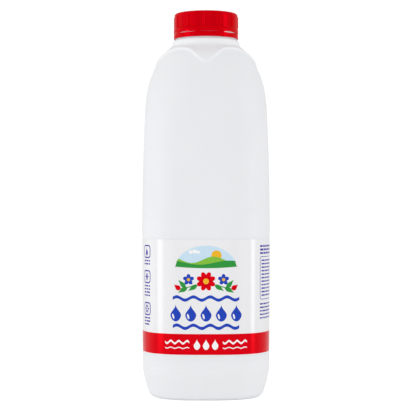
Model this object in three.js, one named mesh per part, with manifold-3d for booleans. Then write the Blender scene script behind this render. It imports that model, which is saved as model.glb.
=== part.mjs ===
// A one-litre plastic milk bottle: a white blow-moulded bottle of rounded-square section,
// its red screw cap with a tamper band, and a film label wrapped round the body.
// Millimetres, +Z up. The origin is the middle of the base, and the front faces -Y.

import * as THREE from 'three';
import { mergeVertices } from 'three/addons/utils/BufferGeometryUtils.js';
import Module from 'manifold-3d';

const wasm = await Module();
wasm.setup();

// Stations of the bottle's side outline, from the heel up to the neck cone's top. At each height:
// the half width across the flats, and how fast that half width changes with height.
const HEEL_TOP = { z: 4.2, half: 36.25, slope: 0.29 };
const INSERT_LINE = { z: 19.5, half: 39.25, slope: 0 };
const WIDEST = { z: 100, half: 39.5, slope: 0 };
const SHOULDER_START = { z: 165, half: 38.15, slope: -0.038 };
const SHOULDER_ROUND = { z: 186, half: 36.65, slope: -0.164 };
const SHOULDER_STRAIGHT = { z: 199, half: 33, slope: -0.437 };
const CONE_FOOT = { z: 205.5, half: 29.8, slope: -0.54 };
const CONE = { z: 210, half: 26.55, slope: -0.95 };
const CONE_TOP = { z: 216, half: 20.45, slope: -1.1 };

// The section is a superellipse: this power in the body, falling to a circle at the neck.
const BODY_POWER = 2.8;
const CIRCLE_POWER = 2;
const ROUNDING_START_Z = 150;
const ROUNDING_END_Z = 210;

// Base: a flat stand ring round a shallow push-up, and a rounded heel outside it.
const STAND_INNER_HALF = 26;
const STAND_OUTER_HALF = 32.2;
const PUSH_UP_HALF = 21;
const PUSH_UP_HEIGHT = 2.5;
const HEEL_FULLNESS = 0.6;

// Label: a film in a shallow recess, so that it lies flush with the body.
const LABEL_BOTTOM_Z = 27.2;
const LABEL_TOP_Z = 96.4;
const LABEL_THICKNESS = 0.25;
const LABEL_GAP = 0.15;
const PANEL_MARGIN = 0.3;
const PANEL_EDGE = 0.6;

// Raised edge on the shoulder: a ring round the neck that dips to a point on each flat, narrow at
// the front and back and wider at the sides. The wall runs almost straight up over the edge.
const WAVE_RING_Z = 212.4;
const WAVE_DIP = 9.35;
const FRONT_DIP_ANGLE = THREE.MathUtils.degToRad(15.3);
const SIDE_DIP_ANGLE = THREE.MathUtils.degToRad(21.5);
const WAVE_LOW_Z = 194;
const WAVE_HIGH_Z = 214.5;
const EDGE_HALF_HEIGHT = 1.15;
const EDGE_STEEPNESS = 0.7;

// Collar under the cap, and the plain neck that the cap covers. At the front and back the cone is
// hollowed as far as the collar, so that the collar's wall reaches lower there.
const COLLAR_RADIUS = 20.8;
const COLLAR_FOOT_Z = 215.65;
const COLLAR_WALL_Z = 216;
const COLLAR_TOP_Z = 218.4;
const COLLAR_EDGE = 0.7;
const NECK_RADIUS = 18.1;
const NECK_TOP_Z = 233.8;

// Screw cap with grip ribs on its wall, a plain rim below them, and a rounded top edge.
const CAP_RADIUS = 19.6;
const CAP_BOTTOM_Z = 219.65;
const CAP_TOP_Z = 235.5;
const CAP_WALL = 1.1;
const CAP_TOP_THICKNESS = 1.4;
const CAP_EDGE = 1.4;
const CAP_RIM_TOP_Z = 226;
const CAP_RIM_PROUD = 0.4;
const CAP_TURN = THREE.MathUtils.degToRad(-4.5);
const RIB_COUNT = 12;
const RIB_HEIGHT = 0.4;
const RIB_TOP_Z = 233.7;
const RIB_RUN_OUT = 0.5;

// Vertex columns of one rib and the panel beside it, in degrees from the rib's middle.
const RIB_COLUMNS = [-3.4, -2.1, 2.1, 3.4, 11.2, 18.8];
const RIB_CREST_COLUMNS = [1, 2];

// Tamper band: the foot of the cap, cut free by a slit except for thin bridges.
const SLIT_BOTTOM_Z = 222.5;
const SLIT_HEIGHT = 0.6;
const SLIT_REACH = 2.2;
const BRIDGE_COUNT = 8;
const BRIDGE_ANGLE = THREE.MathUtils.degToRad(6);
const BRIDGE_TURN = THREE.MathUtils.degToRad(35);

// Fineness of the meshes: columns round the body, and steps along each stretch of outline.
const BODY_COLUMNS = 72;
const HEEL_STEPS = 4;
const TAPER_STEPS = 4;
const UPPER_BODY_STEPS = 3;
const SHOULDER_STEPS = 5;
const BELOW_EDGE_STEPS = 5;
const EDGE_STEPS = 4;
const ABOVE_EDGE_STEPS = 3;
const COLLAR_FILLET_STEPS = 3;
const COLLAR_EDGE_STEPS = 2;
const CAP_EDGE_STEPS = 4;
const SLIT_STEPS = 6;
const MERGE_DISTANCE = 1e-4;

const OUTLINE = [
  HEEL_TOP,
  INSERT_LINE,
  WIDEST,
  SHOULDER_START,
  SHOULDER_ROUND,
  SHOULDER_STRAIGHT,
  CONE_FOOT,
  CONE,
  CONE_TOP,
];

// Half width of the side outline at a height, by a cubic between the two nearest stations.
function halfWidth(z) {
  const lastSpan = OUTLINE.length - 2;
  let index = 0;
  while (index < lastSpan && z > OUTLINE[index + 1].z) {
    index += 1;
  }
  const low = OUTLINE[index];
  const high = OUTLINE[index + 1];
  const third = (high.z - low.z) / 3;
  const curve = new THREE.CubicBezierCurve(
    new THREE.Vector2(low.half, low.z),
    new THREE.Vector2(low.half + low.slope * third, low.z + third),
    new THREE.Vector2(high.half - high.slope * third, high.z - third),
    new THREE.Vector2(high.half, high.z),
  );
  return curve.getPoint((z - low.z) / (high.z - low.z)).x;
}

// Distance from the axis to the rounded-square section, in the direction of an angle.
function sectionRadius(half, z, angle) {
  const rounding = THREE.MathUtils.smoothstep(z, ROUNDING_START_Z, ROUNDING_END_Z);
  const power = THREE.MathUtils.lerp(BODY_POWER, CIRCLE_POWER, rounding);
  const sum = Math.abs(Math.cos(angle)) ** power + Math.abs(Math.sin(angle)) ** power;
  return half / sum ** (1 / power);
}

// How far the raised edge hangs below its ring: a point at the middle of each flat.
function waveDip(angle) {
  const fromFront = Math.abs(Math.asin(Math.sin(angle)));
  const fromSide = Math.PI / 2 - fromFront;
  const front = 1 / Math.cosh(fromFront / FRONT_DIP_ANGLE) ** 2;
  const side = 1 / Math.cosh(fromSide / SIDE_DIP_ANGLE) ** 2;
  return WAVE_DIP * (front + side);
}

// Turns a profile of [half width, height] pairs round +Z, and places each of its vertices by
// a function that gives the angle from the front, the radius and the height.
function turned(profile, columns, place) {
  const points = profile.map(([half, z]) => new THREE.Vector2(half, z));
  const geometry = new THREE.LatheGeometry(points, columns);
  const position = geometry.getAttribute('position');
  for (let column = 0; column <= columns; column += 1) {
    profile.forEach(([half, z], row) => {
      const spot = place(half, z, column % columns);
      const x = spot.radius * Math.sin(spot.angle);
      const y = -spot.radius * Math.cos(spot.angle);
      position.setXYZ(column * profile.length + row, x, y, spot.z);
    });
  }
  return closed(geometry);
}

function closed(geometry) {
  geometry.deleteAttribute('normal');
  geometry.deleteAttribute('uv');
  return mergeVertices(geometry, MERGE_DISTANCE);
}

function levels(start, end, steps) {
  return Array.from({ length: steps + 1 }, (_, step) => THREE.MathUtils.lerp(start, end, step / steps));
}

// Quarter-round edge from an upright wall of a given radius onto a flat top.
function roundedEdge(radius, top, edge, steps) {
  return levels(0, Math.PI / 2, steps).map((angle) => [
    radius - edge * (1 - Math.cos(angle)),
    top - edge * (1 - Math.sin(angle)),
  ]);
}

function onSection(half, z, column) {
  const angle = (column * 2 * Math.PI) / BODY_COLUMNS;
  return { angle, z, radius: sectionRadius(half, z, angle) };
}

// On the shoulder a vertex slides down with the raised edge: from one share of the way between two
// levels at the ring to the same share between the levels that they have come down to.
function onShoulder(z, angle) {
  const ringFoot = WAVE_RING_Z - EDGE_HALF_HEIGHT;
  const ringHead = WAVE_RING_Z + EDGE_HALF_HEIGHT;
  const foot = ringFoot - waveDip(angle);
  const head = ringHead - waveDip(angle);
  const step = EDGE_STEEPNESS * (halfWidth(foot) - halfWidth(head));
  const hollow = (halfWidth(WAVE_HIGH_Z) - COLLAR_RADIUS) * Math.cos(angle) ** 2;
  const above = THREE.MathUtils.clamp((z - ringHead) / (WAVE_HIGH_Z - ringHead), 0, 1);
  const rise = THREE.MathUtils.smoothstep(z, ringFoot, ringHead) * (1 - above);
  let level = THREE.MathUtils.mapLinear(z, ringFoot, ringHead, foot, head);
  if (z < ringFoot) {
    level = THREE.MathUtils.mapLinear(z, WAVE_LOW_Z, ringFoot, WAVE_LOW_Z, foot);
  } else if (z > ringHead) {
    level = THREE.MathUtils.mapLinear(z, ringHead, WAVE_HIGH_Z, head, WAVE_HIGH_Z);
  }
  const radius = sectionRadius(halfWidth(level), level, angle) + step * rise - hollow * above ** 2;
  return { angle, z: level, radius };
}

function onBottle(half, z, column) {
  const spot = onSection(half, z, column);
  if (z > WAVE_LOW_Z && z <= WAVE_HIGH_Z) {
    return onShoulder(z, spot.angle);
  }
  if (z > WAVE_HIGH_Z && z < COLLAR_WALL_Z) {
    spot.radius = THREE.MathUtils.lerp(half, COLLAR_RADIUS, Math.cos(spot.angle) ** 2);
  }
  return spot;
}

function bottleProfile() {
  const heel = new THREE.CubicBezierCurve(
    new THREE.Vector2(STAND_OUTER_HALF, 0),
    new THREE.Vector2(THREE.MathUtils.lerp(STAND_OUTER_HALF, HEEL_TOP.half, HEEL_FULLNESS), 0),
    new THREE.Vector2(HEEL_TOP.half - (HEEL_TOP.slope * HEEL_TOP.z) / 2, HEEL_TOP.z / 2),
    new THREE.Vector2(HEEL_TOP.half, HEEL_TOP.z),
  );
  const fillet = new THREE.QuadraticBezierCurve(
    new THREE.Vector2(halfWidth(WAVE_HIGH_Z), WAVE_HIGH_Z),
    new THREE.Vector2(COLLAR_RADIUS, COLLAR_FOOT_Z),
    new THREE.Vector2(COLLAR_RADIUS, COLLAR_WALL_Z),
  );
  const onCurve = (curve, steps) => curve.getPoints(steps).map((point) => [point.x, point.y]);
  const onOutline = (z) => [halfWidth(z), z];
  const stretch = (start, end, steps) => levels(start, end, steps).slice(1).map(onOutline);
  const recess = LABEL_THICKNESS + LABEL_GAP;
  const panelLow = LABEL_BOTTOM_Z - PANEL_MARGIN;
  const panelHigh = LABEL_TOP_Z + PANEL_MARGIN;
  const ringFoot = WAVE_RING_Z - EDGE_HALF_HEIGHT;
  const ringHead = WAVE_RING_Z + EDGE_HALF_HEIGHT;
  return [
    [0, PUSH_UP_HEIGHT],
    [PUSH_UP_HALF, PUSH_UP_HEIGHT],
    [STAND_INNER_HALF, 0],
    ...onCurve(heel, HEEL_STEPS),
    ...stretch(HEEL_TOP.z, INSERT_LINE.z, TAPER_STEPS),
    onOutline(panelLow - PANEL_EDGE),
    [halfWidth(panelLow) - recess, panelLow],
    [halfWidth(panelHigh) - recess, panelHigh],
    onOutline(panelHigh + PANEL_EDGE),
    ...stretch(panelHigh + PANEL_EDGE, SHOULDER_START.z, UPPER_BODY_STEPS),
    ...stretch(SHOULDER_START.z, WAVE_LOW_Z, SHOULDER_STEPS),
    ...stretch(WAVE_LOW_Z, ringFoot, BELOW_EDGE_STEPS),
    ...stretch(ringFoot, ringHead, EDGE_STEPS),
    ...stretch(ringHead, WAVE_HIGH_Z, ABOVE_EDGE_STEPS),
    ...onCurve(fillet, COLLAR_FILLET_STEPS).slice(1),
    ...roundedEdge(COLLAR_RADIUS, COLLAR_TOP_Z, COLLAR_EDGE, COLLAR_EDGE_STEPS),
    [NECK_RADIUS, COLLAR_TOP_Z],
    [NECK_RADIUS, NECK_TOP_Z],
    [0, NECK_TOP_Z],
  ];
}

function labelProfile() {
  const low = halfWidth(LABEL_BOTTOM_Z);
  const high = halfWidth(LABEL_TOP_Z);
  return [
    [low, LABEL_BOTTOM_Z],
    [high, LABEL_TOP_Z],
    [high - LABEL_THICKNESS, LABEL_TOP_Z],
    [low - LABEL_THICKNESS, LABEL_BOTTOM_Z],
    [low, LABEL_BOTTOM_Z],
  ];
}

// On the grip wall the crest columns of each rib stand proud of the panels between them.
function onCap(half, z, column) {
  const inRib = column % RIB_COLUMNS.length;
  const rib = (column - inRib) / RIB_COLUMNS.length;
  const angle = THREE.MathUtils.degToRad((rib * 360) / RIB_COUNT + RIB_COLUMNS[inRib]);
  const onGrip = half === CAP_RADIUS && z >= CAP_RIM_TOP_Z + RIB_RUN_OUT && z <= RIB_TOP_Z - RIB_RUN_OUT;
  const proud = onGrip && RIB_CREST_COLUMNS.includes(inRib) ? RIB_HEIGHT : 0;
  return { angle, z, radius: half + proud };
}

function capProfile() {
  const inner = CAP_RADIUS - CAP_WALL;
  const rim = CAP_RADIUS + CAP_RIM_PROUD;
  return [
    [0, CAP_TOP_Z - CAP_TOP_THICKNESS],
    [inner, CAP_TOP_Z - CAP_TOP_THICKNESS],
    [inner, CAP_BOTTOM_Z],
    [rim, CAP_BOTTOM_Z],
    [rim, CAP_RIM_TOP_Z - CAP_RIM_PROUD],
    [CAP_RADIUS, CAP_RIM_TOP_Z],
    [CAP_RADIUS, CAP_RIM_TOP_Z + RIB_RUN_OUT],
    [CAP_RADIUS, RIB_TOP_Z - RIB_RUN_OUT],
    [CAP_RADIUS, RIB_TOP_Z],
    ...roundedEdge(CAP_RADIUS, CAP_TOP_Z, CAP_EDGE, CAP_EDGE_STEPS),
    [0, CAP_TOP_Z],
  ];
}

// One opening of the slit between two bridges: a ring sector that passes through the wall.
function slitGeometry(index) {
  const pitch = (2 * Math.PI) / BRIDGE_COUNT;
  const start = BRIDGE_TURN + index * pitch + BRIDGE_ANGLE / 2;
  const end = start + pitch - BRIDGE_ANGLE;
  const sector = new THREE.Shape();
  sector.absarc(0, 0, CAP_RADIUS + SLIT_REACH, start, end, false);
  sector.absarc(0, 0, CAP_RADIUS - SLIT_REACH, end, start, true);
  const settings = { depth: SLIT_HEIGHT, bevelEnabled: false, curveSegments: SLIT_STEPS };
  const geometry = new THREE.ExtrudeGeometry(sector, settings);
  geometry.translate(0, 0, SLIT_BOTTOM_Z);
  return closed(geometry);
}

function toSolid(geometry) {
  const vertProperties = new Float32Array(geometry.getAttribute('position').array);
  const triVerts = new Uint32Array(geometry.getIndex().array);
  return new wasm.Manifold(new wasm.Mesh({ numProp: 3, vertProperties, triVerts }));
}

function toGeometry(solid) {
  const mesh = solid.getMesh();
  const geometry = new THREE.BufferGeometry();
  geometry.setAttribute('position', new THREE.BufferAttribute(mesh.vertProperties, mesh.numProp));
  geometry.setIndex(new THREE.BufferAttribute(mesh.triVerts, 1));
  return geometry;
}

function capGeometry() {
  let solid = toSolid(turned(capProfile(), RIB_COUNT * RIB_COLUMNS.length, onCap));
  for (let index = 0; index < BRIDGE_COUNT; index += 1) {
    solid = solid.subtract(toSolid(slitGeometry(index)));
  }
  return toGeometry(solid);
}

function piece(name, geometry, color, roughness) {
  geometry.computeVertexNormals();
  const mesh = new THREE.Mesh(geometry, new THREE.MeshStandardMaterial({ color, roughness, metalness: 0 }));
  mesh.name = name;
  return mesh;
}

const bottle = piece('bottle', turned(bottleProfile(), BODY_COLUMNS, onBottle), '#eceef0', 0.4);
const label = piece('label', turned(labelProfile(), BODY_COLUMNS, onSection), '#f8f8f8', 0.3);
const cap = piece('cap', capGeometry(), '#d20a1e', 0.35);
cap.rotation.z = CAP_TURN;

const milkBottle = new THREE.Group();
milkBottle.add(bottle, label, cap);

export default milkBottle;
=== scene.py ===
import math
import random

import bmesh
import bpy
from mathutils import Matrix


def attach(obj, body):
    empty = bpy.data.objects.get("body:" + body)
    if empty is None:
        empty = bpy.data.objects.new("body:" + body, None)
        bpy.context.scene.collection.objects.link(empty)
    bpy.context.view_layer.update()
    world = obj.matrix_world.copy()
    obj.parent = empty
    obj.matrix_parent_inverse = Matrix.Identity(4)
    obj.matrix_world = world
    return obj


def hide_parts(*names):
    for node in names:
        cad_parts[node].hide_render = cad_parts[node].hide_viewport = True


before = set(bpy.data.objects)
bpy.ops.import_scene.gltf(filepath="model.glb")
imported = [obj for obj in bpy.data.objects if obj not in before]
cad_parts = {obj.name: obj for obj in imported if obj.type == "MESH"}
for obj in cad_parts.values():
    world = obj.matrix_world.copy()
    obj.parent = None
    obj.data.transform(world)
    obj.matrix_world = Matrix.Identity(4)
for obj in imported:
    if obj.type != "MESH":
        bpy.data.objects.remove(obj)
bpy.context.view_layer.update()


# Bottle: blown from white high-density polyethylene, rounded-square in the body and round at the
# neck. The two halves of its mould meet in a fine line at the front and back, a separate base
# insert leaves a second line round the foot, and the pinched end of the tube shows under the base.
MM = 0.001
BODY = "root"

# Stations of the side outline: height, half width across the flats, and its change with height.
OUTLINE = (
    (4.2, 36.25, 0.29),
    (19.5, 39.25, 0.0),
    (100.0, 39.5, 0.0),
    (165.0, 38.15, -0.038),
    (186.0, 36.65, -0.164),
    (199.0, 33.0, -0.437),
    (205.5, 29.8, -0.54),
    (210.0, 26.55, -0.95),
    (216.0, 20.45, -1.1),
)
HEEL_TOP_Z, HEEL_HALF, HEEL_SLOPE = OUTLINE[0]
INSERT_Z = OUTLINE[1][0]
WIDEST_HALF = OUTLINE[2][1]
SHOULDER_Z = OUTLINE[3][0]

# The section is a superellipse that rounds off to a circle on its way up to the neck.
BODY_POWER = 2.8
CIRCLE_POWER = 2.0
ROUNDING_START_Z = 150.0
ROUNDING_END_Z = 210.0

# Base: push-up, stand ring and heel, and the weld ridge where the tube was pinched shut.
PUSH_UP_HALF = 19.5
PUSH_UP_HEIGHT = 2.5
STAND_INNER_HALF = 26.0
STAND_OUTER_HALF = 32.2
HEEL_FULLNESS = 0.6
WELD_HALF_WIDTH = 0.9
WELD_HALF_LENGTH = 19.0
WELD_HEIGHT = 0.5

# Mould lines: a fine ridge up the front and back, and a fine groove round the base insert.
PARTING_HEIGHT = 0.06
PARTING_HALF_ANGLE = math.radians(0.7)
INSERT_GROOVE_DEPTH = 0.08
INSERT_GROOVE_HALF = 0.45

# Label panel: a very shallow recess that the film lies in.
LABEL_LOW_Z = 27.2
LABEL_HIGH_Z = 96.4
PANEL_DEPTH = 0.2
PANEL_MARGIN = 0.3
PANEL_EDGE = 0.8

# Raised edge on the shoulder: a ring round the neck that dips to a point on each flat, narrow at
# the front and back and wider at the sides. The wall runs almost straight up over the edge.
WAVE_RING_Z = 212.4
WAVE_DIP = 9.35
FRONT_DIP_ANGLE = math.radians(15.3)
SIDE_DIP_ANGLE = math.radians(21.5)
WAVE_LOW_Z = 194.0
WAVE_HIGH_Z = 214.5
EDGE_HALF_HEIGHT = 1.15
EDGE_STEEPNESS = 0.7
EDGE_FOOT_Z = WAVE_RING_Z - EDGE_HALF_HEIGHT
EDGE_HEAD_Z = WAVE_RING_Z + EDGE_HALF_HEIGHT

# Collar under the cap, and the neck with the ring that the cap's tamper band closes round. At the
# front and back the cone is hollowed as far as the collar, whose wall reaches lower there.
COLLAR_RADIUS = 20.8
COLLAR_FOOT_Z = 215.65
COLLAR_WALL_Z = 216.0
COLLAR_TOP_Z = 218.4
COLLAR_EDGE = 0.7
NECK_RADIUS = 18.1
NECK_RING_RADIUS = 19.4
NECK_RING_Z = (219.5, 219.9, 223.9, 224.6)
NECK_TOP_Z = 233.8

# Lighter tint along the raised edge, a painted highlight, and at the foot, painted light, as shares of the
# neck's whiter tint from its thicker wall.
WHITENING_ATTRIBUTE = "thick_neck_and_painted_light"
EDGE_PAINTED_HIGHLIGHT = 0.75
FOOT_PAINTED_LIGHT = 0.6

# Mesh: its columns crowd together at the front and back, where the mould line and the narrow dips are.
BOTTLE_COLUMNS = 320
COLUMN_CROWDING = 0.8
MERGE_DISTANCE = 1e-5
NEAR = 1e-3
SHARP_ANGLE = math.radians(32)


def mix(start, end, share):
    return start + (end - start) * share


def levels(start, end, steps):
    return [mix(start, end, step / steps) for step in range(steps + 1)]


def smoothstep(value, start, end):
    share = min(max((value - start) / (end - start), 0.0), 1.0)
    return share * share * (3.0 - 2.0 * share)


def bezier(handles, share):
    """Point of a Bezier curve, by mixing neighbouring handles until one value is left."""
    while len(handles) > 1:
        handles = [mix(a, b, share) for a, b in zip(handles, handles[1:])]
    return handles[0]


def half_width(z):
    """Half the width across the flats at a height, by a cubic between the two nearest stations."""
    index = sum(z > station[0] for station in OUTLINE[1:-1])
    (low_z, low, low_slope), (high_z, high, high_slope) = OUTLINE[index:index + 2]
    third = (high_z - low_z) / 3.0
    return bezier((low, low + low_slope * third, high - high_slope * third, high), (z - low_z) / third / 3.0)


def section_radius(half, z, angle):
    """Distance from the axis to the rounded-square section, in the direction of an angle."""
    power = mix(BODY_POWER, CIRCLE_POWER, smoothstep(z, ROUNDING_START_Z, ROUNDING_END_Z))
    total = abs(math.cos(angle)) ** power + abs(math.sin(angle)) ** power
    return half / total ** (1.0 / power)


def angle_from_front(vert):
    return math.atan2(vert.co.x, -vert.co.y)


def put(vert, radius, angle, z):
    vert.co = (radius * math.sin(angle), -radius * math.cos(angle), z)


def spun(profile, columns):
    """Turns a profile of (half width, height) points once round the upright axis."""
    bm = bmesh.new()
    points = [bm.verts.new((half, 0.0, z)) for half, z in profile]
    edges = [bm.edges.new(pair) for pair in zip(points, points[1:])]
    bmesh.ops.spin(
        bm,
        geom=points + edges,
        cent=(0.0, 0.0, 0.0),
        axis=(0.0, 0.0, 1.0),
        angle=math.tau,
        steps=columns,
        use_merge=True,
    )
    bmesh.ops.remove_doubles(bm, verts=bm.verts, dist=MERGE_DISTANCE)
    bmesh.ops.recalc_face_normals(bm, faces=bm.faces)
    return bm


def rounded_edge(radius, top, edge, steps):
    """Quarter-round from an upright wall of a given radius onto a flat top."""
    turns = levels(0.0, math.pi / 2.0, steps)
    return [(radius - edge * (1.0 - math.cos(t)), top - edge * (1.0 - math.sin(t))) for t in turns]


def finished(bm, name, material):
    """Makes the object of a bmesh in millimetres, smooth but for its sharp edges, at the origin."""
    bmesh.ops.scale(bm, vec=(MM, MM, MM), verts=bm.verts)
    mesh = bpy.data.meshes.new(name)
    bm.to_mesh(mesh)
    bm.free()
    mesh.materials.append(material)
    mesh.shade_smooth()
    mesh.set_sharp_from_angle(angle=SHARP_ANGLE)
    piece = bpy.data.objects.new(name, mesh)
    bpy.context.scene.collection.objects.link(piece)
    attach(piece, BODY)
    return piece


def linear(code):
    """Linear colour of an sRGB hex value."""
    shares = [int(code[place:place + 2], 16) / 255.0 for place in (1, 3, 5)]
    return [s / 12.92 if s <= 0.04045 else ((s + 0.055) / 1.055) ** 2.4 for s in shares] + [1.0]


def add_node(material, kind, settings, links):
    """Adds a node. Settings are properties or input values by name, links are sockets into it."""
    node = material.node_tree.nodes.new(kind)
    for name, value in settings.items():
        if name in node.inputs:
            node.inputs[name].default_value = value
        else:
            setattr(node, name, value)
    for name, source in links.items():
        material.node_tree.links.new(source, node.inputs[name])
    return node


def new_material(name):
    """An empty node material and the output of its Object coordinates."""
    material = bpy.data.materials.new(name)
    material.use_nodes = True
    material.node_tree.nodes.clear()
    place = add_node(material, "ShaderNodeTexCoord", {}, {})
    return material, place.outputs["Object"]


def per_size(size_mm):
    """Scale of a noise pattern whose marks are about this many millimetres apart."""
    return 1.0 / (size_mm * MM)


def polyethylene_white():
    """Blow-moulded white HDPE: a soft semi-gloss with a faint orange peel from the mould, wall
    unevenness that makes the reflections swim a little, and a breath of light through the wall.
    The wall is thicker, so whiter, at the neck. Along the raised edge the same lighter tint is a painted
    highlight, and at the foot it is painted light."""
    material, place = new_material("blow_moulded_white_hdpe")
    cloud = add_node(
        material,
        "ShaderNodeTexNoise",
        {"Scale": per_size(26.0), "Detail": 2.0},
        {"Vector": place},
    )
    thin = add_node(material, "ShaderNodeValToRGB", {}, {"Fac": cloud.outputs["Fac"]})
    thin.color_ramp.elements[0].color = linear("#e9ebee")
    thin.color_ramp.elements[1].color = linear("#eff0f2")
    # Lighter tint: the neck's thicker wall, plus a painted highlight on the raised edge and painted light at
    # the foot.
    whitening = add_node(material, "ShaderNodeAttribute", {"attribute_name": WHITENING_ATTRIBUTE}, {})
    tint = add_node(
        material,
        "ShaderNodeMixRGB",
        {"Color2": linear("#f3f4f6")},
        {"Fac": whitening.outputs["Fac"], "Color1": thin.outputs["Color"]},
    )
    swim = add_node(
        material,
        "ShaderNodeBump",
        {"Strength": 0.35, "Distance": 0.05 * MM},
        {"Height": cloud.outputs["Fac"]},
    )
    peel = add_node(
        material,
        "ShaderNodeTexNoise",
        {"Scale": per_size(1.6), "Detail": 3.0},
        {"Vector": place},
    )
    skin = add_node(
        material,
        "ShaderNodeBump",
        {"Strength": 0.12, "Distance": 0.02 * MM},
        {"Height": peel.outputs["Fac"], "Normal": swim.outputs["Normal"]},
    )
    gloss = add_node(
        material,
        "ShaderNodeMapRange",
        {"To Min": 0.34, "To Max": 0.42},
        {"Value": peel.outputs["Fac"]},
    )
    surface = add_node(
        material,
        "ShaderNodeBsdfPrincipled",
        {
            "IOR": 1.54,
            "Specular IOR Level": 0.2,
            "Subsurface Weight": 0.12,
            "Subsurface Radius": (1.0, 0.9, 0.8),
            "Subsurface Scale": 2.0 * MM,
        },
        {
            "Base Color": tint.outputs["Color"],
            "Roughness": gloss.outputs["Result"],
            "Normal": skin.outputs["Normal"],
        },
    )
    add_node(material, "ShaderNodeOutputMaterial", {}, {"Surface": surface.outputs["BSDF"]})
    return material


def bottle_profile():
    """Half widths and heights of the bottle, from the middle of the base up to the neck's top."""
    heel_halves = (
        STAND_OUTER_HALF,
        mix(STAND_OUTER_HALF, HEEL_HALF, HEEL_FULLNESS),
        HEEL_HALF - HEEL_SLOPE * HEEL_TOP_Z / 2.0,
        HEEL_HALF,
    )
    heel_heights = (0.0, 0.0, HEEL_TOP_Z / 2.0, HEEL_TOP_Z)
    fillet_halves = (half_width(WAVE_HIGH_Z), COLLAR_RADIUS, COLLAR_RADIUS)
    fillet_heights = (WAVE_HIGH_Z, COLLAR_FOOT_Z, COLLAR_WALL_Z)
    panel_low = LABEL_LOW_Z - PANEL_MARGIN
    panel_high = LABEL_HIGH_Z + PANEL_MARGIN
    insert_low = INSERT_Z - INSERT_GROOVE_HALF
    insert_high = INSERT_Z + INSERT_GROOVE_HALF

    profile = [(half, PUSH_UP_HEIGHT) for half in levels(0.0, PUSH_UP_HALF, 12)]
    for share in levels(0.0, 1.0, 8)[1:]:
        height = PUSH_UP_HEIGHT * (0.5 + 0.5 * math.cos(math.pi * share))
        profile.append((mix(PUSH_UP_HALF, STAND_INNER_HALF, share), height))
    for share in levels(0.0, 1.0, 12):
        profile.append((bezier(heel_halves, share), bezier(heel_heights, share)))
    outline_levels = (
        levels(HEEL_TOP_Z, insert_low, 10)[1:]
        + levels(insert_low, insert_high, 6)[1:]
        + levels(insert_high, panel_low - PANEL_EDGE, 4)[1:]
        + levels(panel_low - PANEL_EDGE, panel_low, 4)[1:]
        + levels(panel_low, panel_high, 16)[1:]
        + levels(panel_high, panel_high + PANEL_EDGE, 4)[1:]
        + levels(panel_high + PANEL_EDGE, SHOULDER_Z, 20)[1:]
        + levels(SHOULDER_Z, WAVE_LOW_Z, 16)[1:]
        + levels(WAVE_LOW_Z, EDGE_FOOT_Z, 14)[1:]
        + levels(EDGE_FOOT_Z, EDGE_HEAD_Z, 12)[1:]
        + levels(EDGE_HEAD_Z, WAVE_HIGH_Z, 14)[1:]
    )
    profile += [(half_width(z), z) for z in outline_levels]
    for share in levels(0.0, 1.0, 6)[1:]:
        profile.append((bezier(fillet_halves, share), bezier(fillet_heights, share)))
    profile += rounded_edge(COLLAR_RADIUS, COLLAR_TOP_Z, COLLAR_EDGE, 5)
    profile.append((NECK_RADIUS, COLLAR_TOP_Z))
    ring_radii = (NECK_RADIUS, NECK_RING_RADIUS, NECK_RING_RADIUS, NECK_RADIUS)
    profile += zip(ring_radii, NECK_RING_Z)
    profile += [(NECK_RADIUS, NECK_TOP_Z), (0.0, NECK_TOP_Z)]
    return profile


def wave_dip(angle):
    """How far the raised edge hangs below its ring, and how steeply it runs, at an angle."""
    from_front = abs(math.asin(math.sin(angle)))
    front_share = from_front / FRONT_DIP_ANGLE
    side_share = (math.pi / 2.0 - from_front) / SIDE_DIP_ANGLE
    front = WAVE_DIP / math.cosh(front_share) ** 2
    side = WAVE_DIP / math.cosh(side_share) ** 2
    front_fall = 2.0 * front * math.tanh(front_share) / FRONT_DIP_ANGLE
    side_fall = 2.0 * side * math.tanh(side_share) / SIDE_DIP_ANGLE
    return front + side, front_fall - side_fall


def shoulder_spot(z, angle):
    """Level and radius of a shoulder point, which slides down with the raised edge."""
    dip, fall = wave_dip(angle)
    middle = WAVE_RING_Z - dip
    reach = EDGE_HALF_HEIGHT * math.hypot(1.0, fall / half_width(middle))
    foot = middle - reach
    head = middle + reach
    step = EDGE_STEEPNESS * (half_width(foot) - half_width(head))
    hollow = (half_width(WAVE_HIGH_Z) - COLLAR_RADIUS) * math.cos(angle) ** 2
    if z < EDGE_FOOT_Z:
        level = mix(WAVE_LOW_Z, foot, (z - WAVE_LOW_Z) / (EDGE_FOOT_Z - WAVE_LOW_Z))
        offset = 0.0
    elif z < EDGE_HEAD_Z:
        share = (z - EDGE_FOOT_Z) / (EDGE_HEAD_Z - EDGE_FOOT_Z)
        level = mix(foot, head, share)
        offset = step * smoothstep(share, 0.0, 1.0)
    else:
        share = (z - EDGE_HEAD_Z) / (WAVE_HIGH_Z - EDGE_HEAD_Z)
        level = mix(head, WAVE_HIGH_Z, share)
        offset = step * (1.0 - share) - hollow * share ** 2
    return level, section_radius(half_width(level), level, angle) + offset


def panel_recess(z):
    """Depth of the label panel at a height, with a soft edge above and below it."""
    rise = smoothstep(z, LABEL_LOW_Z - PANEL_MARGIN - PANEL_EDGE, LABEL_LOW_Z - PANEL_MARGIN)
    fall = smoothstep(z, LABEL_HIGH_Z + PANEL_MARGIN + PANEL_EDGE, LABEL_HIGH_Z + PANEL_MARGIN)
    return PANEL_DEPTH * min(rise, fall)


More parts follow.
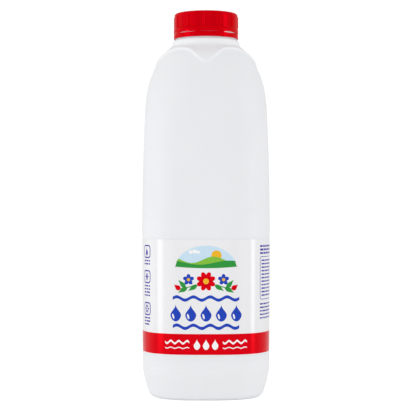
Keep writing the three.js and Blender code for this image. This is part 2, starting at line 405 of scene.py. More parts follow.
def whitening_share(z):
    """How much lighter tint a row of the profile gets, from 0 on the body to 1 on the neck with its thicker
    wall; along the raised edge it is a painted highlight, at the foot painted light.
    """
    across = min(max((z - EDGE_FOOT_Z) / (EDGE_HEAD_Z - EDGE_FOOT_Z), 0.0), 1.0)
    # Painted highlight along the raised edge.
    edge = EDGE_PAINTED_HIGHLIGHT * math.sin(math.pi * across)
    # Painted light at the foot.
    foot = FOOT_PAINTED_LIGHT * smoothstep(z, LABEL_LOW_Z, INSERT_Z)
    return max(edge, foot, smoothstep(z, WAVE_HIGH_Z, COLLAR_WALL_Z))


def shape_bottle(bm):
    # Share of the lighter tint per vertex: thicker wall at the neck, painted highlight on the edge, painted
    # light at the foot.
    whitening = bm.verts.layers.float.new(WHITENING_ATTRIBUTE)
    for vert in bm.verts:
        half = math.hypot(vert.co.x, vert.co.y)
        z = vert.co.z
        vert[whitening] = whitening_share(z)
        if half < NEAR:
            continue
        angle = angle_from_front(vert)
        angle -= COLUMN_CROWDING * math.sin(2.0 * angle) / 2.0
        from_parting = abs(math.asin(math.sin(angle)))
        ridge = min(PARTING_HEIGHT, max(WIDEST_HALF - half, 0.0))
        parting = max(1.0 - from_parting / PARTING_HALF_ANGLE, 0.0) ** 2 * ridge
        if z <= PUSH_UP_HEIGHT and half <= PUSH_UP_HALF:
            radius = section_radius(half, z, angle)
            across = min(abs(radius * math.sin(angle)) / WELD_HALF_WIDTH, 1.0)
            along = 1.0 - smoothstep(radius, WELD_HALF_LENGTH - WELD_HALF_WIDTH * 2.0, WELD_HALF_LENGTH)
            z -= WELD_HEIGHT * math.cos(across * math.pi / 2.0) ** 2 * along
        elif WAVE_LOW_Z < z < WAVE_HIGH_Z + NEAR:
            z, radius = shoulder_spot(z, angle)
            radius += parting
        elif WAVE_HIGH_Z < z < COLLAR_WALL_Z:
            radius = mix(half, COLLAR_RADIUS, math.cos(angle) ** 2)
        elif HEEL_TOP_Z < z < WAVE_HIGH_Z:
            groove = max(1.0 - abs(z - INSERT_Z) / INSERT_GROOVE_HALF, 0.0) * INSERT_GROOVE_DEPTH
            recess = panel_recess(z)
            radius = section_radius(half - recess - groove, z, angle)
            radius += parting * (1.0 - recess / PANEL_DEPTH)
        else:
            radius = section_radius(half, z, angle)
        put(vert, radius, angle, z)


bottle_mesh = spun(bottle_profile(), BOTTLE_COLUMNS)
shape_bottle(bottle_mesh)
bottle = finished(bottle_mesh, "bottle_body", polyethylene_white())
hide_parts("bottle")


# Screw cap: injection-moulded in red polyethylene, with twelve grip ribs, a plain rim under them
# and a tamper band that hangs from the rim on thin bridges. The band sits tight on the ring of the
# neck and was pulled round with the cap, so the slit gapes unevenly and most near one bridge.
CAP_RADIUS = 19.6
CAP_LOW_Z = 219.65
CAP_TOP_Z = 235.5
CAP_INNER_RADIUS = 19.45
CAP_INNER_TOP_Z = 234.1
CAP_EDGE = 1.4
CAP_FOOT_EDGE = 0.35
RIM_RADIUS = 20.0
RIM_TOP_Z = 226.0
RIM_EDGE = 0.5
RIM_EDGE_ACROSS = 0.3
RIM_EDGE_UP = 0.6
BAND_RADIUS = 19.95
CAP_TURN = math.radians(-4.5)
RIB_COUNT = 12
RIB_HEIGHT = 0.4
RIB_TOP_Z = 233.7
RIB_RUN_OUT = 0.6
RIB_CREST = math.radians(1.1)
RIB_FOOT = math.radians(2.3)
GROOVE_END = math.radians(4.7)
GROOVE_DEPTH = 0.15
SLIT_LOW_Z = 222.5
SLIT_HIGH_Z = 223.1
SLIT_LIP = 0.4
BRIDGE_COUNT = 8
BRIDGE_ANGLE = math.radians(6.0)
BRIDGE_TURN = math.radians(30.5)
SLIT_CLOSED_HEIGHT = 0.12
SLIT_OPEN_HEIGHTS = (0.8, 0.6, 0.5, 0.55, 0.6, 0.75, 0.4, 0.16)
SLIT_LEAN = 0.62
CAP_COLUMNS = 720

# Moulded top: a shallow sunk disc and the small pit with the gate's stub in its middle.
DISC_RADIUS = 14.2
DISC_STEP = 0.4
DISC_DEPTH = 0.5
GATE_PIT_RADIUS = 2.0
GATE_PIT_DEPTH = 0.4
GATE_STUB_RADIUS = 0.7
GATE_STUB_TOP_RADIUS = 0.56
GATE_STUB_SINK = 0.12


def polyethylene_red():
    """Injection-moulded red polyethylene: glossier than the bottle, with a slight flow mottle and
    a very fine satin grain from the mould, drawn coarser than it is so that it shows. It is so
    strongly coloured that its gloss is red too, which the metallic share gives, and a little light
    comes through its thin walls."""
    material, place = new_material("injection_moulded_red_pe")
    flow = add_node(
        material,
        "ShaderNodeTexNoise",
        {"Scale": per_size(7.0), "Detail": 3.0},
        {"Vector": place},
    )
    tint = add_node(material, "ShaderNodeValToRGB", {}, {"Fac": flow.outputs["Fac"]})
    tint.color_ramp.elements[0].color = linear("#d0000c")
    tint.color_ramp.elements[1].color = linear("#d80012")
    grain = add_node(
        material,
        "ShaderNodeTexNoise",
        {"Scale": per_size(0.8), "Detail": 2.0},
        {"Vector": place},
    )
    skin = add_node(
        material,
        "ShaderNodeBump",
        {"Strength": 0.1, "Distance": 0.015 * MM},
        {"Height": grain.outputs["Fac"]},
    )
    gloss = add_node(
        material,
        "ShaderNodeMapRange",
        {"To Min": 0.22, "To Max": 0.28},
        {"Value": flow.outputs["Fac"]},
    )
    surface = add_node(
        material,
        "ShaderNodeBsdfPrincipled",
        {
            "IOR": 1.52,
            "Metallic": 0.3,
            "Specular IOR Level": 0.04,
            "Specular Tint": linear("#ff0066"),
            "Subsurface Weight": 0.25,
            "Subsurface Radius": (1.0, 0.08, 0.1),
            "Subsurface Scale": 1.5 * MM,
        },
        {
            "Base Color": tint.outputs["Color"],
            "Roughness": gloss.outputs["Result"],
            "Normal": skin.outputs["Normal"],
        },
    )
    add_node(material, "ShaderNodeOutputMaterial", {}, {"Surface": surface.outputs["BSDF"]})
    return material


def cap_profile():
    """Half widths and heights of the cap, from the middle of its inside round to its top."""
    disc_z = CAP_TOP_Z - DISC_DEPTH
    profile = [
        (0.0, CAP_INNER_TOP_Z),
        (CAP_INNER_RADIUS, CAP_INNER_TOP_Z),
        (CAP_INNER_RADIUS, SLIT_HIGH_Z),
        (CAP_INNER_RADIUS, SLIT_LOW_Z),
        (CAP_INNER_RADIUS, CAP_LOW_Z),
    ]
    foot = levels(-math.pi / 2.0, 0.0, 4)
    foot_middle = BAND_RADIUS - CAP_FOOT_EDGE
    foot_z = CAP_LOW_Z + CAP_FOOT_EDGE
    profile += [
        (foot_middle + CAP_FOOT_EDGE * math.cos(t), foot_z + CAP_FOOT_EDGE * math.sin(t)) for t in foot
    ]
    profile += [
        (BAND_RADIUS, SLIT_LOW_Z - SLIT_LIP),
        (BAND_RADIUS, SLIT_LOW_Z),
        (RIM_RADIUS, SLIT_HIGH_Z),
        (RIM_RADIUS, SLIT_HIGH_Z + SLIT_LIP),
        (RIM_RADIUS, RIM_TOP_Z - RIM_EDGE),
        (mix(RIM_RADIUS, CAP_RADIUS, RIM_EDGE_ACROSS), RIM_TOP_Z - RIM_EDGE * (1.0 - RIM_EDGE_UP)),
        (CAP_RADIUS, RIM_TOP_Z),
    ]
    profile += [(CAP_RADIUS, z) for z in levels(RIM_TOP_Z, RIM_TOP_Z + RIB_RUN_OUT, 4)[1:]]
    profile += [(CAP_RADIUS, z) for z in levels(RIB_TOP_Z - RIB_RUN_OUT, RIB_TOP_Z, 4)]
    profile += rounded_edge(CAP_RADIUS, CAP_TOP_Z, CAP_EDGE, 8)
    profile += [
        (DISC_RADIUS, CAP_TOP_Z),
        (DISC_RADIUS - DISC_STEP, disc_z),
        (GATE_PIT_RADIUS, disc_z),
        (GATE_PIT_RADIUS - GATE_PIT_DEPTH, disc_z - GATE_PIT_DEPTH),
        (GATE_STUB_RADIUS, disc_z - GATE_PIT_DEPTH),
        (GATE_STUB_TOP_RADIUS, disc_z - GATE_STUB_SINK),
        (0.0, disc_z - GATE_STUB_SINK),
    ]
    return profile


def in_opening(angle):
    """Which opening of the slit an angle falls in, and how far along it, or None at a bridge."""
    pitch = math.tau / BRIDGE_COUNT
    turn = ((angle - BRIDGE_TURN) % math.tau) / pitch
    index = int(turn)
    margin = BRIDGE_ANGLE / pitch / 2.0
    share = (turn - index - margin) / (1.0 - 2.0 * margin)
    return (index, share) if 0.0 < share < 1.0 else None


def open_slit(bm):
    """Takes the wall away between the bridges, and joins the outer and inner edge of each hole."""
    taken = []
    for face in bm.faces:
        centre = face.calc_center_median()
        upright = abs(face.normal.z) < 0.5
        if upright and SLIT_LOW_Z < centre.z < SLIT_HIGH_Z:
            if in_opening(math.atan2(centre.x, -centre.y)):
                taken.append(face)
    bmesh.ops.delete(bm, geom=taken, context="FACES")
    rims = [[] for _ in range(BRIDGE_COUNT)]
    for edge in bm.edges:
        if edge.is_boundary:
            middle = (edge.verts[0].co + edge.verts[1].co) / 2.0
            turn = ((math.atan2(middle.x, -middle.y) - BRIDGE_TURN) % math.tau) / math.tau
            rims[int(turn * BRIDGE_COUNT)].append(edge)
    for rim in rims:
        bmesh.ops.bridge_loops(bm, edges=rim)
    bmesh.ops.recalc_face_normals(bm, faces=bm.faces)


def rib_relief(from_rib):
    """Height of the grip wall beside a rib: the rib itself, then a fine groove along its foot."""
    groove = min(max((from_rib - RIB_FOOT) / (GROOVE_END - RIB_FOOT), 0.0), 1.0)
    return RIB_HEIGHT * smoothstep(from_rib, RIB_FOOT, RIB_CREST) - GROOVE_DEPTH * math.sin(math.pi * groove)


def shape_cap(bm):
    rib_pitch = math.tau / RIB_COUNT
    slit_middle = (SLIT_LOW_Z + SLIT_HIGH_Z) / 2.0
    slit_half = (SLIT_HIGH_Z - SLIT_LOW_Z) / 2.0
    for vert in bm.verts:
        radius = math.hypot(vert.co.x, vert.co.y)
        z = vert.co.z
        if radius < NEAR:
            continue
        angle = angle_from_front(vert)
        if abs(radius - CAP_RADIUS) < NEAR and RIM_TOP_Z < z < RIB_TOP_Z:
            from_rib = abs(angle - CAP_TURN - rib_pitch * round((angle - CAP_TURN) / rib_pitch))
            run_out = min(z - RIM_TOP_Z, RIB_TOP_Z - z) / RIB_RUN_OUT
            radius += rib_relief(from_rib) * smoothstep(run_out, 0.0, 1.0)
        if abs(abs(z - slit_middle) - slit_half) < NEAR:
            spot = in_opening(angle)
            height = SLIT_CLOSED_HEIGHT
            if spot:
                gape = math.sin(math.pi * spot[1] ** SLIT_LEAN)
                height = mix(height, SLIT_OPEN_HEIGHTS[spot[0]], gape)
            z = slit_middle + math.copysign(height / 2.0, z - slit_middle)
        put(vert, radius, angle, z)


cap_mesh = spun(cap_profile(), CAP_COLUMNS)
open_slit(cap_mesh)
shape_cap(cap_mesh)
cap = finished(cap_mesh, "screw_cap", polyethylene_red())
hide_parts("cap")


# Label: a white polypropylene film wrapped once round the body in its shallow panel, with its end
# glued over its start. The film is semi-gloss and shows a faint ripple.
FILM_THICKNESS = 0.1
FILM_SINK = 0.1
FILM_SHINE = 1.0
LABEL_COLUMNS = 360
LABEL_ROWS = 8


def wrapped_ring(low_z, high_z, out, depth):
    """A thin ring of film that follows the body between two heights."""
    outer = [(half_width(z) + out, z) for z in levels(low_z, high_z, LABEL_ROWS)]
    inner = [(half - depth, z) for half, z in reversed(outer)]
    bm = spun(outer + inner + outer[:1], LABEL_COLUMNS)
    for vert in bm.verts:
        half = math.hypot(vert.co.x, vert.co.y)
        angle = angle_from_front(vert)
        put(vert, section_radius(half, vert.co.z, angle), angle, vert.co.z)
    return bm


def polypropylene_film(name, dark, light, shine, metallic=0.0):
    """Printed polypropylene film: semi-gloss, with a faint ripple where it was pulled tight and a
    slight mottle in the ink. The metallic share gives a strong ink's gloss the ink's own colour."""
    material, place = new_material(name)
    ripple = add_node(
        material,
        "ShaderNodeTexNoise",
        {"Scale": per_size(14.0), "Detail": 2.0},
        {"Vector": place},
    )
    pull = add_node(
        material,
        "ShaderNodeBump",
        {"Strength": 0.4, "Distance": 0.04 * MM},
        {"Height": ripple.outputs["Fac"]},
    )
    mottle = add_node(
        material,
        "ShaderNodeTexNoise",
        {"Scale": per_size(1.2), "Detail": 2.0},
        {"Vector": place},
    )
    tint = add_node(material, "ShaderNodeValToRGB", {}, {"Fac": mottle.outputs["Fac"]})
    tint.color_ramp.elements[0].color = linear(dark)
    tint.color_ramp.elements[1].color = linear(light)
    gloss = add_node(
        material,
        "ShaderNodeMapRange",
        {"To Min": 0.15, "To Max": 0.22},
        {"Value": ripple.outputs["Fac"]},
    )
    surface = add_node(
        material,
        "ShaderNodeBsdfPrincipled",
        {"IOR": 1.49, "Specular IOR Level": shine, "Metallic": metallic},
        {
            "Base Color": tint.outputs["Color"],
            "Roughness": gloss.outputs["Result"],
            "Normal": pull.outputs["Normal"],
        },
    )
    add_node(material, "ShaderNodeOutputMaterial", {}, {"Surface": surface.outputs["BSDF"]})
    return material


label_mesh = wrapped_ring(LABEL_LOW_Z, LABEL_HIGH_Z, -FILM_SINK, FILM_THICKNESS)
film_white = polypropylene_film("white_polypropylene_film", "#ebebed", "#eeeef0", FILM_SHINE)
label = finished(label_mesh, "label_film", film_white)
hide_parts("label")


# Printing: gravure inks on the film, one piece for each ink. A view of hills, a flower spray and milk
# drops between waves stand on the front and again on the back, with small pictograms and rows of
# short bars between them, and a red band runs round the foot.
INK_LAYER = 0.02
INK_ROOT = 0.01
INK_SHINE = 0.06
RED_INK_SHINE = 0.04
RED_INK_METALLIC = 0.28
CUT_SPACING = 1.0
ARC_STEPS = 1440
OVAL_SEGMENTS = 28
TIP_START = -0.4
LABEL_MIDDLE_Z = (LABEL_LOW_Z + LABEL_HIGH_Z) / 2.0


def arc_lengths():
    """Way round the section from the front, in millimetres, after each of many equal turns."""
    half = half_width(LABEL_MIDDLE_Z) - FILM_SINK
    turn = math.tau / ARC_STEPS
    lengths = [0.0]
    for step in range(ARC_STEPS):
        ends = [math.tau * (step + side) / ARC_STEPS for side in (0, 1)]
        start, end = [section_radius(half, LABEL_MIDDLE_Z, angle) for angle in ends]
        chord = math.sqrt(start ** 2 + end ** 2 - 2.0 * start * end * math.cos(turn))
        lengths.append(lengths[-1] + chord)
    return lengths


ARC_LENGTHS = arc_lengths()
WAY_ROUND = ARC_LENGTHS[-1]
BACK = WAY_ROUND / 2.0


def arc_angle(way):
    """Angle from the front after a given way round the label."""
    way %= WAY_ROUND
    low, high = 0, ARC_STEPS
    while high - low > 1:
        middle = (low + high) // 2
        low, high = (middle, high) if ARC_LENGTHS[middle] <= way else (low, middle)
    share = (way - ARC_LENGTHS[low]) / (ARC_LENGTHS[high] - ARC_LENGTHS[low])
    return math.tau * (low + share) / ARC_STEPS


def ink(name, dark, light):
    return polypropylene_film(name + "_on_film", dark, light, INK_SHINE)


def printed(bm, name, material, places=(0.0, BACK)):
    """Makes one ink's piece. Its shapes are drawn flat, as way round, height and number of the ink
    layer. They get a thickness, stand at each place round the label and are wrapped round the film."""
    for vert in bm.verts:
        vert.co.z = round(vert.co.z) * INK_LAYER
    thick = bmesh.ops.extrude_face_region(bm, geom=bm.faces[:])
    lower = [item for item in thick["geom"] if isinstance(item, bmesh.types.BMVert)]
    for vert in lower:
        vert.co.z = -INK_ROOT
    ways = [vert.co.x for vert in bm.verts]
    for step in range(math.ceil(min(ways) / CUT_SPACING), math.ceil(max(ways) / CUT_SPACING)):
        bmesh.ops.bisect_plane(
            bm,
            geom=bm.verts[:] + bm.edges[:] + bm.faces[:],
            plane_co=(step * CUT_SPACING, 0.0, 0.0),
            plane_no=(1.0, 0.0, 0.0),
            dist=MERGE_DISTANCE,
        )
    drawn = bm.verts[:] + bm.edges[:] + bm.faces[:]
    for place in places[1:]:
        copy = bmesh.ops.duplicate(bm, geom=drawn)
        copied = [item for item in copy["geom"] if isinstance(item, bmesh.types.BMVert)]
        bmesh.ops.translate(bm, vec=(place - places[0], 0.0, 0.0), verts=copied)
    bmesh.ops.translate(bm, vec=(places[0], 0.0, 0.0), verts=bm.verts)
    bmesh.ops.recalc_face_normals(bm, faces=bm.faces)
    for vert in bm.verts:
        way, z, lift = vert.co
        angle = arc_angle(way)
        put(vert, section_radius(half_width(z) - FILM_SINK + lift, z, angle), angle, z)
    finished(bm, "label_" + name, material)


def oval(bm, layer, way, z, length, width, turn=0.0, tip=0.0, segments=OVAL_SEGMENTS):
    """A flat oval. A tip of 1 draws its far end out to a point, as on a petal, leaf or drop."""
    made = bmesh.ops.create_circle(bm, cap_ends=True, radius=1.0, segments=segments)["verts"]
    for vert in made:
        narrow = 1.0 - tip * smoothstep(vert.co.x, TIP_START, 1.0)
        vert.co = (vert.co.x * length / 2.0, vert.co.y * width / 2.0 * narrow, layer)
    bmesh.ops.rotate(bm, cent=(0.0, 0.0, 0.0), matrix=Matrix.Rotation(turn, 3, "Z"), verts=made)
    bmesh.ops.translate(bm, vec=(way, z, 0.0), verts=made)


def flower(bm, layer, way, z, petals, reach, length, width, turn=0.0):
    for index in range(petals):
        side = turn + math.tau * index / petals
        oval(bm, layer, way + reach * math.cos(side), z + reach * math.sin(side), length, width, side)


def strip(bm, layer, way, length, bottom, top):
    """A flat strip between two edges, each a function of the way round."""
    segments = max(int(length / CUT_SPACING), 1)
    made = bmesh.ops.create_grid(bm, x_segments=segments, y_segments=1, size=0.5)["verts"]
    for vert in made:
        spot = way + vert.co.x * length
        vert.co = (spot, top(spot) if vert.co.y > 0.0 else bottom(spot), layer)


def line_along(bm, layer, way, length, height, centre):
    """A strip of even height that follows a function of the way round."""
    half = height / 2.0
    strip(bm, layer, way, length, lambda spot: centre(spot) - half, lambda spot: centre(spot) + half)


def bar(bm, layer, way, z, length, height):
    line_along(bm, layer, way, length, height, lambda spot: z)


def wave_line(bm, layer, way, z, length, height, swing, pitch):
    def centre(spot):
        return z + swing * math.sin(math.tau * (spot - way) / pitch)

    line_along(bm, layer, way, length, height, centre)


# View of hills: a dome of sky with a sun and a cloud over a far and a near hill. A hill is its height,
# its swing, and the shift and run of its wave, and a puff of the cloud is its way, height and size.
VIEW_LOW_Z = 79.8
VIEW_HALF = 18.4
VIEW_HEIGHT = 13.0
VIEW_ROUNDNESS = 0.55
VIEW_FOOT_RISE = 0.9
VIEW_FOOT_DEPTH = 0.4
FAR_HILL = (4.6, 1.9, 2.0, 4.1)
NEAR_HILL = (2.9, 1.2, -5.0, 5.6)
SUN_WAY = 6.2
SUN_HEIGHT = 7.2
SUN_SIZE = 6.0
CLOUD_PUFFS = ((-9.0, 9.2, 2.6), (-6.8, 9.5, 3.0), (-4.6, 9.1, 2.2))
CLOUD_FLATNESS = 0.8

# Flower spray: a red flower between two small blue ones on one stem, with leaves and a bud at each end.
# A leaf is its place along the stem and its lean in degrees.
SPRAY_Z = 71.6
STEM_DROP = 3.2
STEM_SWING = 1.6
STEM_RUN = 6.0
STEM_LENGTH = 36.0
STEM_WIDTH = 0.6
LEAVES = ((5.4, -34.0), (11.2, -30.0), (12.2, 48.0))
LEAF_REACH = 3.2
LEAF_WIDTH = 2.9
LEAF_TIP = 0.8
RED_PETALS = 8
RED_REACH = 3.5
RED_PETAL_SIZE = (4.6, 3.0)
RED_EYE = 3.4
BUD_WAY = 17.2
BUD_LIFT = 1.2
BUD_SIZE = (4.6, 3.2)
BUD_LEAN = 0.9
BUD_TIP = 0.7
BLUE_WAY = 10.4
BLUE_Z = SPRAY_Z + 1.0
BLUE_PETALS = 5
BLUE_REACH = 1.9
BLUE_PETAL_SIZE = (2.9, 2.3)
BLUE_EYE = 1.9

# Milk drops in a row between two wave lines, each with a glint.
UPRIGHT = math.pi / 2.0
DROP_WAYS = (-18.2, -9.1, 0.0, 9.1, 18.2)
DROP_Z = 52.9
DROP_SIZE = (10.4, 7.0)
DROP_SEGMENTS = 40
GLINT_WAY = -1.5
GLINT_Z = DROP_Z - 2.2
GLINT_SIZE = (3.2, 1.1)
GLINT_TURN = math.radians(105.0)
WAVES_Z = (61.4, 44.6)
WAVES_LENGTH = 40.0
WAVES_HEIGHT = 1.9
WAVES_SWING = 1.0
WAVES_PITCH = 10.0


def dome(way):
    """Upper edge of the view over the hills."""
    return VIEW_LOW_Z + VIEW_HEIGHT * max(1.0 - (way / VIEW_HALF) ** 2, 0.0) ** VIEW_ROUNDNESS


def view_foot(way):
    return VIEW_LOW_Z + VIEW_FOOT_RISE * (way / VIEW_HALF) ** 2 - VIEW_FOOT_DEPTH


def hill(height, swing, shift, run):
    """Function for the upper edge of a rolling hill, cut off where it leaves the view."""
    return lambda way: min(dome(way), VIEW_LOW_Z + height + swing * math.sin((way + shift) / run))


def stem(way):
    return SPRAY_Z - STEM_DROP + STEM_SWING * math.cos(way / STEM_RUN)


sky = bmesh.new()
strip(sky, 1, 0.0, 2.0 * VIEW_HALF, view_foot, dome)
printed(sky, "ink_sky", ink("sky_ink", "#c3def0", "#d0e7f6"))

yellow = bmesh.new()
oval(yellow, 2, SUN_WAY, VIEW_LOW_Z + SUN_HEIGHT, SUN_SIZE, SUN_SIZE)
oval(yellow, 3, 0.0, SPRAY_Z, RED_EYE, RED_EYE)
for side in (-1, 1):
    oval(yellow, 3, side * BLUE_WAY, BLUE_Z, BLUE_EYE, BLUE_EYE)
printed(yellow, "ink_yellow", ink("yellow_ink", "#edb021", "#f4bd33"))

leaf_green = bmesh.new()
strip(leaf_green, 3, 0.0, 2.0 * VIEW_HALF, view_foot, hill(*FAR_HILL))
printed(leaf_green, "ink_light_green", ink("light_green_ink", "#7db83c", "#8cc648"))

deep_green = bmesh.new()
strip(deep_green, 4, 0.0, 2.0 * VIEW_HALF, view_foot, hill(*NEAR_HILL))
line_along(deep_green, 1, 0.0, STEM_LENGTH, STEM_WIDTH, stem)
for side in (-1, 1):
    for way, lean in LEAVES:
        turn = math.radians(90.0 + side * (lean - 90.0))
        spot = side * way + LEAF_REACH * math.cos(turn)
        level = stem(way) + LEAF_REACH * math.sin(turn)
        oval(deep_green, 1, spot, level, 2.0 * LEAF_REACH, LEAF_WIDTH, turn, LEAF_TIP)
printed(deep_green, "ink_green", ink("green_ink", "#2c8f3a", "#379c45"))

red = bmesh.new()
flower(red, 2, 0.0, SPRAY_Z, RED_PETALS, RED_REACH, *RED_PETAL_SIZE, math.pi / RED_PETALS)
for side in (-1, 1):
    oval(red, 2, side * BUD_WAY, stem(BUD_WAY) + BUD_LIFT, *BUD_SIZE, UPRIGHT - side * BUD_LEAN, BUD_TIP)
red_ink = polypropylene_film("red_ink_on_film", "#da000f", "#e00017", RED_INK_SHINE, RED_INK_METALLIC)
printed(red, "ink_red", red_ink)

blue = bmesh.new()
for side in (-1, 1):
    flower(blue, 2, side * BLUE_WAY, BLUE_Z, BLUE_PETALS, BLUE_REACH, *BLUE_PETAL_SIZE, UPRIGHT)
for way in DROP_WAYS:
    oval(blue, 1, way, DROP_Z, *DROP_SIZE, UPRIGHT, 1.0, DROP_SEGMENTS)
for z in WAVES_Z:
    wave_line(blue, 1, 0.0, z, WAVES_LENGTH, WAVES_HEIGHT, WAVES_SWING, WAVES_PITCH)
printed(blue, "ink_blue", ink("blue_ink", "#1f3fb2", "#2a4cc0"))

# Small print: three framed pictograms with rows of short bars under them, and a framed field of such
# rows on the other side. A frame is its width, height, line and corner, a pictogram its height on the
# label and its rows, and a group of rows its top row's height, its rows, their width and bar height.
PICTOGRAM_WAY = -41.6
PICTOGRAM_WIDTH = 9.2
PICTOGRAM_HEIGHT = 8.0
PICTOGRAM_FRAME = (PICTOGRAM_WIDTH, PICTOGRAM_HEIGHT, 0.8, 2.2)
PICTOGRAMS = ((88.8, 2), (73.6, 4), (54.3, 3))
PICTOGRAM_ROW_GAP = 1.5
PICTOGRAM_ROW_PITCH = 1.9
PICTOGRAM_ROW_WIDTH = PICTOGRAM_WIDTH - 1.0
SIGN_DROP_SIZE = (5.0, 3.2)
SIGN_RAYS = 3
SIGN_RAY_SIZE = (5.4, 0.9)
SIGN_PETALS = 6
SIGN_PETAL_REACH = 1.8
SIGN_PETAL_SIZE = (1.9, 1.2)
FIELD_WAY = 47.4
FIELD_Z = 73.0
FIELD_FRAME = (24.0, 26.0, 0.4, 1.4)
FIELD_ROWS = ((92.2, 3, 24.0, 1.2), (83.6, 11, 21.0, 0.9), (57.4, 5, 24.0, 0.9))
FIELD_ROW_PITCH = 2.1
CORNER_SEGMENTS = 24
BAR_HEIGHT = 0.9
BAR_GAP = 0.7
BAR_LENGTHS = (1.8, 4.8)
SHORTEST_BAR = 1.2
bar_draw = random.Random(7)


def row_of_bars(bm, way, z, width, height):
    """A row of short bars of seeded lengths with even gaps."""
    spot = way - width / 2.0
    end = way + width / 2.0
    while spot < end - SHORTEST_BAR:
        length = min(bar_draw.uniform(*BAR_LENGTHS), end - spot)
        bar(bm, 1, spot + length / 2.0, z, length, height)
        spot += length + BAR_GAP


def frame_line(bm, way, z, width, height, line, corner):
    """A rounded outline: two loops, one inside the other, bridged to a ring."""
    loops = []
    for inset in (0.0, line):
        loop = bmesh.ops.create_circle(
            bm,
            radius=corner - inset,
            segments=CORNER_SEGMENTS,
            matrix=Matrix.Rotation(math.pi / CORNER_SEGMENTS, 4, "Z"),
        )["verts"]
        for vert in loop:
            across = math.copysign(width / 2.0 - corner, vert.co.x)
            up = math.copysign(height / 2.0 - corner, vert.co.y)
            vert.co = (way + vert.co.x + across, z + vert.co.y + up, 1.0)
        loops += {edge for vert in loop for edge in vert.link_edges}
    bmesh.ops.bridge_loops(bm, edges=loops)


def drop_sign(bm, way, z):
    oval(bm, 1, way, z, *SIGN_DROP_SIZE, UPRIGHT, 1.0)


def star_sign(bm, way, z):
    for ray in range(SIGN_RAYS):
        oval(bm, 1, way, z, *SIGN_RAY_SIZE, math.pi * ray / SIGN_RAYS)


def blossom_sign(bm, way, z):
    flower(bm, 1, way, z, SIGN_PETALS, SIGN_PETAL_REACH, *SIGN_PETAL_SIZE)


violet = bmesh.new()
for (z, rows), sign in zip(PICTOGRAMS, (drop_sign, star_sign, blossom_sign)):
    frame_line(violet, PICTOGRAM_WAY, z, *PICTOGRAM_FRAME)
    sign(violet, PICTOGRAM_WAY, z)
    for row in range(rows):
        level = z - PICTOGRAM_HEIGHT / 2.0 - PICTOGRAM_ROW_GAP - PICTOGRAM_ROW_PITCH * row
        row_of_bars(violet, PICTOGRAM_WAY, level, PICTOGRAM_ROW_WIDTH, BAR_HEIGHT)
frame_line(violet, FIELD_WAY, FIELD_Z, *FIELD_FRAME)
for top_z, rows, width, height in FIELD_ROWS:
    for row in range(rows):
        row_of_bars(violet, FIELD_WAY, top_z - FIELD_ROW_PITCH * row, width, height)
printed(violet, "ink_violet", ink("violet_ink", "#463f9f", "#504aaa"))

# Red band, with three white drops at the front between pairs of white waves. A wave is its height on the
# label, its thickness and its swing.
BAND_LOW_Z = 27.9
BAND_HIGH_Z = 40.3
BAND_DROP_WAYS = (-5.4, 0.0, 5.4)
BAND_DROP_Z = 34.2
BAND_DROP_SIZE = (6.6, 4.1)
BAND_WAVE_WAY = 17.5
BAND_WAVE_LENGTH = 15.0
BAND_WAVE_PITCH = 5.0
BAND_WAVES = ((35.4, 1.2, 0.9), (32.0, 0.6, 0.4))

band_mesh = wrapped_ring(BAND_LOW_Z, BAND_HIGH_Z, INK_LAYER - FILM_SINK, INK_LAYER + INK_ROOT)
finished(band_mesh, "label_ink_red_band", red_ink)

white = bmesh.new()
for way in DROP_WAYS:
    oval(white, 2, way + GLINT_WAY, GLINT_Z, *GLINT_SIZE, GLINT_TURN)
for way, height, size in CLOUD_PUFFS:
    oval(white, 2, way, VIEW_LOW_Z + height, size, size * CLOUD_FLATNESS)
for way in BAND_DROP_WAYS:
    oval(white, 2, way, BAND_DROP_Z, *BAND_DROP_SIZE, UPRIGHT, 1.0)
for side in (-1, 1):
    for z, height, swing in BAND_WAVES:
        wave_line(white, 2, side * BAND_WAVE_WAY, z, BAND_WAVE_LENGTH, height, swing, BAND_WAVE_PITCH)
printed(white, "ink_white", ink("white_ink", "#f5f5f5", "#fafafa"))


# Lap: the end of the film, glued over its start beside the back's design, where nothing is printed but
# the red band.
LAP_WAY = BACK - 29.5
LAP_WIDTH = 8.0

lap = bmesh.new()
bar(lap, 3, 0.0, LABEL_MIDDLE_Z, LAP_WIDTH, LABEL_HIGH_Z - LABEL_LOW_Z)
printed(lap, "film_lap", film_white, (LAP_WAY,))

red_lap = bmesh.new()
bar(red_lap, 4, 0.0, (BAND_LOW_Z + BAND_HIGH_Z) / 2.0, LAP_WIDTH, BAND_HIGH_Z - BAND_LOW_Z)
printed(red_lap, "ink_red_lap", red_ink, (LAP_WAY,))


# Studio: a small round table of lit white acrylic in a white room. On each side of the bottle stand
# three lights: a bright strip, a weaker box between it and the camera, and one a little behind the
# bottle. Two more softboxes hang behind the camera and above the table.
FLOOR_RADIUS = 0.32
FLOOR_GLOW = 0.13
FLOOR_GLOW_SHOWN = 0.45
FLOOR_SEGMENTS = 96
ROOM_FILL = 0.79
ROOM_SHOWN = 1.05
LIGHT_DISTANCE = 1.4
LIGHT_AIM_Z = 0.12

# Each light's azimuth and elevation in degrees, width and height in metres, and power in watts.
LIGHTS = {
    "strip_left": (-71.0, 0.0, 0.46, 1.0, 2.7),
    "strip_right": (75.0, 0.0, 0.3, 1.0, 2.1),
    "softbox_left": (-108.0, 5.0, 0.9, 1.0, 1.0),
    "fade_left": (-46.0, 3.0, 0.6, 1.0, 0.6),
    "softbox_right": (105.0, 5.0, 0.5, 1.0, 0.2),
    "fade_right": (48.0, 3.0, 0.6, 1.0, 0.5),
    "softbox_front": (0.0, 3.0, 1.0, 1.0, 0.8),
    "softbox_above": (0.0, 70.0, 1.0, 0.5, 0.8),
}


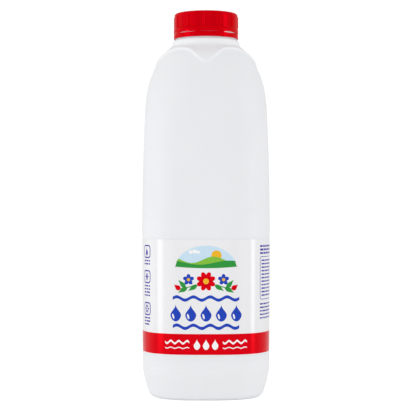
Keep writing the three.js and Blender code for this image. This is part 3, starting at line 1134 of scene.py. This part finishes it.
def acrylic_floor():
    """Lit white acrylic: matt, with a glow that the picture shows more of than the bottle gets."""
    material, place = new_material("lit_white_acrylic")
    ray = add_node(material, "ShaderNodeLightPath", {}, {})
    glow = add_node(
        material,
        "ShaderNodeMapRange",
        {"To Min": FLOOR_GLOW, "To Max": FLOOR_GLOW_SHOWN},
        {"Value": ray.outputs["Is Camera Ray"]},
    )
    cloud = add_node(
        material,
        "ShaderNodeTexNoise",
        {"Scale": per_size(400.0), "Detail": 2.0},
        {"Vector": place},
    )
    gloss = add_node(
        material,
        "ShaderNodeMapRange",
        {"To Min": 0.55, "To Max": 0.65},
        {"Value": cloud.outputs["Fac"]},
    )
    surface = add_node(
        material,
        "ShaderNodeBsdfPrincipled",
        {"Base Color": linear("#f0f0f0"), "Emission Color": linear("#ffffff")},
        {"Roughness": gloss.outputs["Result"], "Emission Strength": glow.outputs["Result"]},
    )
    add_node(material, "ShaderNodeOutputMaterial", {}, {"Surface": surface.outputs["BSDF"]})
    return material


floor_mesh = bmesh.new()
bmesh.ops.create_circle(floor_mesh, cap_ends=True, radius=FLOOR_RADIUS, segments=FLOOR_SEGMENTS)
floor_data = bpy.data.meshes.new("floor")
floor_mesh.to_mesh(floor_data)
floor_mesh.free()
floor_data.materials.append(acrylic_floor())
floor = bpy.data.objects.new("floor", floor_data)
bpy.context.scene.collection.objects.link(floor)

for name, (azimuth, elevation, width, height, power) in LIGHTS.items():
    light = bpy.data.lights.new(name, "AREA")
    light.shape = "RECTANGLE"
    light.size = width
    light.size_y = height
    light.energy = power
    lamp = bpy.data.objects.new(name, light)
    middle = Matrix.Translation((0.0, 0.0, LIGHT_AIM_Z))
    swing = Matrix.Rotation(math.radians(azimuth), 4, "Z")
    tilt = Matrix.Rotation(math.radians(90.0 - elevation), 4, "X")
    lamp.matrix_world = middle @ swing @ tilt @ Matrix.Translation((0.0, 0.0, LIGHT_DISTANCE))
    bpy.context.scene.collection.objects.link(lamp)

world = bpy.data.worlds.new("white_room")
world.use_nodes = True
world.node_tree.nodes.clear()
shown = add_node(world, "ShaderNodeBackground", {"Color": linear("#ffffff"), "Strength": ROOM_SHOWN}, {})
fill = add_node(world, "ShaderNodeBackground", {"Color": linear("#ffffff"), "Strength": ROOM_FILL}, {})
ray = add_node(world, "ShaderNodeLightPath", {}, {})
room = add_node(world, "ShaderNodeMixShader", {}, {"Fac": ray.outputs["Is Camera Ray"]})
world.node_tree.links.new(fill.outputs["Background"], room.inputs[1])
world.node_tree.links.new(shown.outputs["Background"], room.inputs[2])
add_node(world, "ShaderNodeOutputWorld", {}, {"Surface": room.outputs["Shader"]})
bpy.context.scene.world = world
bpy.context.scene.view_settings.view_transform = "Standard"


# Camera: level, straight in front of the label at about 0.85 m, with a long lens. Its place is in
# millimetres in the bottle's frame.
CAMERA_SPOT = (-0.31, -850.0, 116.6)
LENS = 119.7
SENSOR = 36.0

camera_data = bpy.data.cameras.new("camera")
camera_data.sensor_fit = "HORIZONTAL"
camera_data.sensor_width = SENSOR
camera_data.lens = LENS
camera = bpy.data.objects.new("camera", camera_data)
camera.location = [value * MM for value in CAMERA_SPOT]
camera.rotation_euler = (math.pi / 2.0, 0.0, 0.0)
bpy.context.scene.collection.objects.link(camera)
bpy.context.scene.camera = camera
